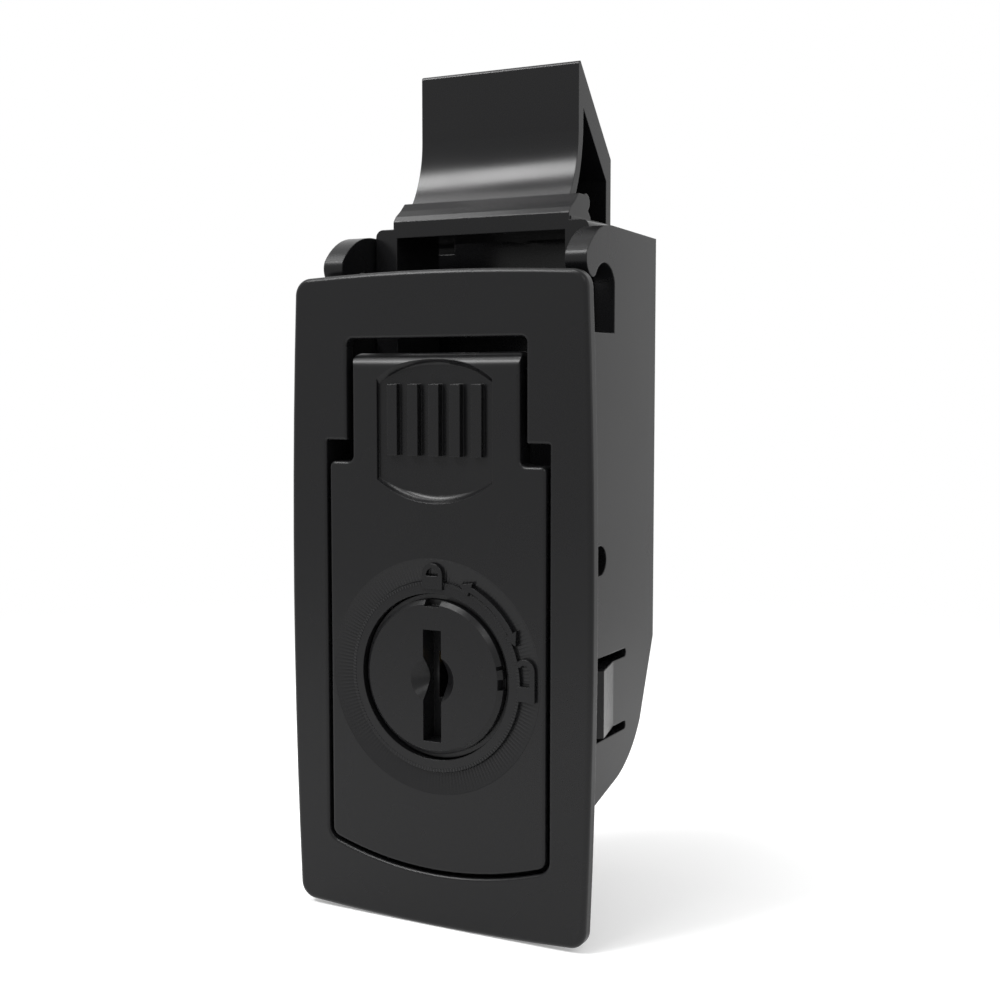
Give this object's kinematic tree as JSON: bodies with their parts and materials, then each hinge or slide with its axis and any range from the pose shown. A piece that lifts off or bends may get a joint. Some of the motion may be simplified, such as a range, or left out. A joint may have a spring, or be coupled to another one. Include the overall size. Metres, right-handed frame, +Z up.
{
  "type": "push-to-close latch",
  "caption": "Flush push-to-close paddle latch with key lock, snapped into a panel cut-out; a spring-loaded slam bolt stands up behind the bezel.",
  "frame": {"origin": "centre of the bezel's back plane, which rests on the panel", "axes": "+X to the right seen from the front, +Y into the panel, +Z up towards the bolt"},
  "size_m": [0.033, 0.0215, 0.0841],
  "materials": {
    "housing_plastic": "satin black moulded polyamide",
    "lever_plastic": "satin black moulded polyamide",
    "bolt_plastic": "semi-gloss black moulded acetal",
    "plug_black": "satin black coated die-cast zinc",
    "lock_zinc": "black coated die-cast zinc",
    "steel_pin": "black oxide drawn steel",
    "zinc_plate": "bright zinc plated stamping",
    "spring_steel": "drawn spring wire",
    "wafer_brass": "stamped brass"
  },
  "bodies": {
    "housing": {"housing": "housing_plastic", "pivot_pin": "steel_pin", "return_spring_left": "spring_steel", "return_spring_right": "spring_steel"},
    "lever": {"lever": "lever_plastic", "lock_sleeve": "lock_zinc", "sleeve_clip": "zinc_plate"},
    "release_pin": {"release_pin": "steel_pin", "slam_spring_left": "spring_steel", "slam_spring_right": "spring_steel"},
    "slam_bolt": {"slam_bolt": "bolt_plastic"},
    "lock_plug": {"lock_plug": "plug_black", "stop_washer": "zinc_plate", "lock_cam": "zinc_plate", "cam_screw": "zinc_plate", "wafer_spring_1": "spring_steel", "wafer_spring_2": "spring_steel", "wafer_spring_3": "spring_steel", "wafer_spring_4": "spring_steel", "wafer_spring_5": "spring_steel"},
    "wafer_1": {"wafer_1": "wafer_brass"},
    "wafer_2": {"wafer_2": "wafer_brass"},
    "wafer_3": {"wafer_3": "wafer_brass"},
    "wafer_4": {"wafer_4": "wafer_brass"},
    "wafer_5": {"wafer_5": "wafer_brass"}
  },
  "joints": [
    {"name": "lever_swing", "type": "hinge", "parent": "housing", "child": "lever", "pos_m": [0, 0.0032, 0.00425], "axis": [-1, 0, 0], "range_deg": [0, 29], "stiffness_Nm_per_rad": 0.06, "springref_deg": -14.32},
    {"name": "release_travel", "type": "slide", "parent": "housing", "child": "release_pin", "axis": [0, 0, -1], "range_m": [0, 0.00551], "deforming": ["return_spring_left", "return_spring_right"]},
    {"name": "slam_travel", "type": "slide", "parent": "release_pin", "child": "slam_bolt", "axis": [0, 0, -1], "range_m": [0, 0.0055], "stiffness_N_per_m": 400, "springref_m": -0.002, "deforming": ["slam_spring_left", "slam_spring_right"]},
    {"name": "lock_turn", "type": "hinge", "parent": "lever", "child": "lock_plug", "pos_m": [0, 0.004, -0.00705], "axis": [0, 1, 0], "range_deg": [0, 90]},
    {"name": "wafer_lift_1", "type": "slide", "parent": "lock_plug", "child": "wafer_1", "axis": [0, 0, 1], "range_m": [0, 0.0009], "stiffness_N_per_m": 30, "springref_m": -0.001, "deforming": ["wafer_spring_1"]},
    {"name": "wafer_lift_2", "type": "slide", "parent": "lock_plug", "child": "wafer_2", "axis": [0, 0, 1], "range_m": [0, 0.000501], "stiffness_N_per_m": 30, "springref_m": -0.001, "deforming": ["wafer_spring_2"]},
    {"name": "wafer_lift_3", "type": "slide", "parent": "lock_plug", "child": "wafer_3", "axis": [0, 0, 1], "range_m": [0, 0.000701], "stiffness_N_per_m": 30, "springref_m": -0.001, "deforming": ["wafer_spring_3"]},
    {"name": "wafer_lift_4", "type": "slide", "parent": "lock_plug", "child": "wafer_4", "axis": [0, 0, 1], "range_m": [0, 0.000401], "stiffness_N_per_m": 30, "springref_m": -0.001, "deforming": ["wafer_spring_4"]},
    {"name": "wafer_lift_5", "type": "slide", "parent": "lock_plug", "child": "wafer_5", "axis": [0, 0, 1], "range_m": [0, 0.000801], "stiffness_N_per_m": 30, "springref_m": -0.001, "deforming": ["wafer_spring_5"]}
  ],
  "couplings": [
    {"joint": "release_travel", "follows": "lever_swing", "m_per_rad": 0.010883},
    {"joint": "wafer_lift_2", "follows": "wafer_lift_1", "ratio": 0.55556},
    {"joint": "wafer_lift_3", "follows": "wafer_lift_1", "ratio": 0.77778},
    {"joint": "wafer_lift_4", "follows": "wafer_lift_1", "ratio": 0.44444},
    {"joint": "wafer_lift_5", "follows": "wafer_lift_1", "ratio": 0.88889}
  ]
}
